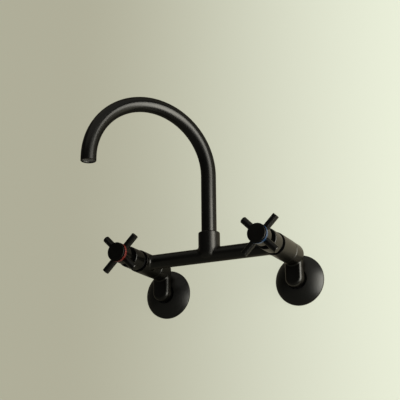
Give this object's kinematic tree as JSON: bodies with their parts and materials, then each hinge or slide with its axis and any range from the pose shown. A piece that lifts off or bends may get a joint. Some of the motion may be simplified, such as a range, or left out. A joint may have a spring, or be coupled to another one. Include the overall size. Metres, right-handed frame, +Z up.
{
  "type": "wall-mount bridge kitchen faucet",
  "caption": "Wall-mounted bridge faucet with swing arms, cross handles on ceramic quarter-turn valves, and a swivelling gooseneck spout with an aerator.",
  "frame": {"origin": "on the finished wall, midway between the two water inlets", "axes": "+X along the wall to the right as the user faces it, +Y into the wall, +Z up"},
  "size_m": [0.273, 0.2303, 0.2786],
  "materials": {
    "dark_finish": "satin near-black plated finish",
    "inner_brass": "machined brass",
    "dark_neck": "satin black",
    "seal_rubber": "matt",
    "guide_plastic": "smooth acetal",
    "disc_ceramic": "lapped",
    "spring_steel": "fine brushed",
    "screen_steel": "etched mesh",
    "hot_red": "gloss",
    "cold_blue": "gloss"
  },
  "bodies": {
    "faucet_body": {"bridge": "dark_finish", "spout_bushing": "guide_plastic", "glide_washer": "guide_plastic", "spout_screw": "spring_steel", "valve_body_left": "dark_finish", "arm_rings_left": "seal_rubber", "snap_ring_left": "spring_steel", "seat_seal_left": "seal_rubber", "ceramic_disc_fixed_left": "disc_ceramic", "cartridge_housing_left": "dark_neck", "bonnet_gasket_left": "seal_rubber", "bonnet_left": "dark_finish", "valve_body_right": "dark_finish", "arm_rings_right": "seal_rubber", "snap_ring_right": "spring_steel", "seat_seal_right": "seal_rubber", "ceramic_disc_fixed_right": "disc_ceramic", "cartridge_housing_right": "dark_neck", "bonnet_gasket_right": "seal_rubber", "bonnet_right": "dark_finish"},
    "spout": {"spout_tube": "dark_finish", "spout_spigot": "inner_brass", "spout_rings": "seal_rubber", "aerator_housing": "screen_steel", "aerator_screen": "screen_steel", "aerator_washer": "seal_rubber"},
    "handle_left": {"handle_hub_left": "dark_finish", "handle_spokes_left": "dark_finish", "index_ring_left": "hot_red", "handle_cap_left": "dark_finish", "handle_screw_left": "spring_steel", "cartridge_spindle_left": "inner_brass", "spindle_rings_left": "seal_rubber", "spindle_clip_left": "spring_steel", "ceramic_disc_moving_left": "disc_ceramic"},
    "handle_right": {"handle_hub_right": "dark_finish", "handle_spokes_right": "dark_finish", "index_ring_right": "cold_blue", "handle_cap_right": "dark_finish", "handle_screw_right": "spring_steel", "cartridge_spindle_right": "inner_brass", "spindle_rings_right": "seal_rubber", "spindle_clip_right": "spring_steel", "ceramic_disc_moving_right": "disc_ceramic"},
    "arm_left": {"swing_arm_left": "dark_finish", "wall_flange_left": "dark_finish", "flange_grommet_left": "seal_rubber", "inlet_washer_left": "seal_rubber"},
    "arm_right": {"swing_arm_right": "dark_finish", "wall_flange_right": "dark_finish", "flange_grommet_right": "seal_rubber", "inlet_washer_right": "seal_rubber"}
  },
  "joints": [
    {"name": "spout_swivel", "type": "hinge", "parent": "faucet_body", "child": "spout", "pos_m": [0, -0.0742, 0.0315], "axis": [0, 0, 1], "range_deg": [-69.5, 140.5]},
    {"name": "handle_turn_left", "type": "hinge", "parent": "faucet_body", "child": "handle_left", "pos_m": [-0.1016, 0, 0.0315], "axis": [0, -1, 0], "range_deg": [0, 90]},
    {"name": "handle_turn_right", "type": "hinge", "parent": "faucet_body", "child": "handle_right", "pos_m": [0.1016, 0, 0.0315], "axis": [0, 1, 0], "range_deg": [0, 90]},
    {"name": "arm_swivel_left", "type": "hinge", "parent": "faucet_body", "child": "arm_left", "pos_m": [-0.1016, 0, 0.0315], "axis": [0, 1, 0], "range_deg": [-50, 50]},
    {"name": "arm_swivel_right", "type": "hinge", "parent": "faucet_body", "child": "arm_right", "pos_m": [0.1016, 0, 0.0315], "axis": [0, 1, 0], "range_deg": [-50, 50]}
  ]
}
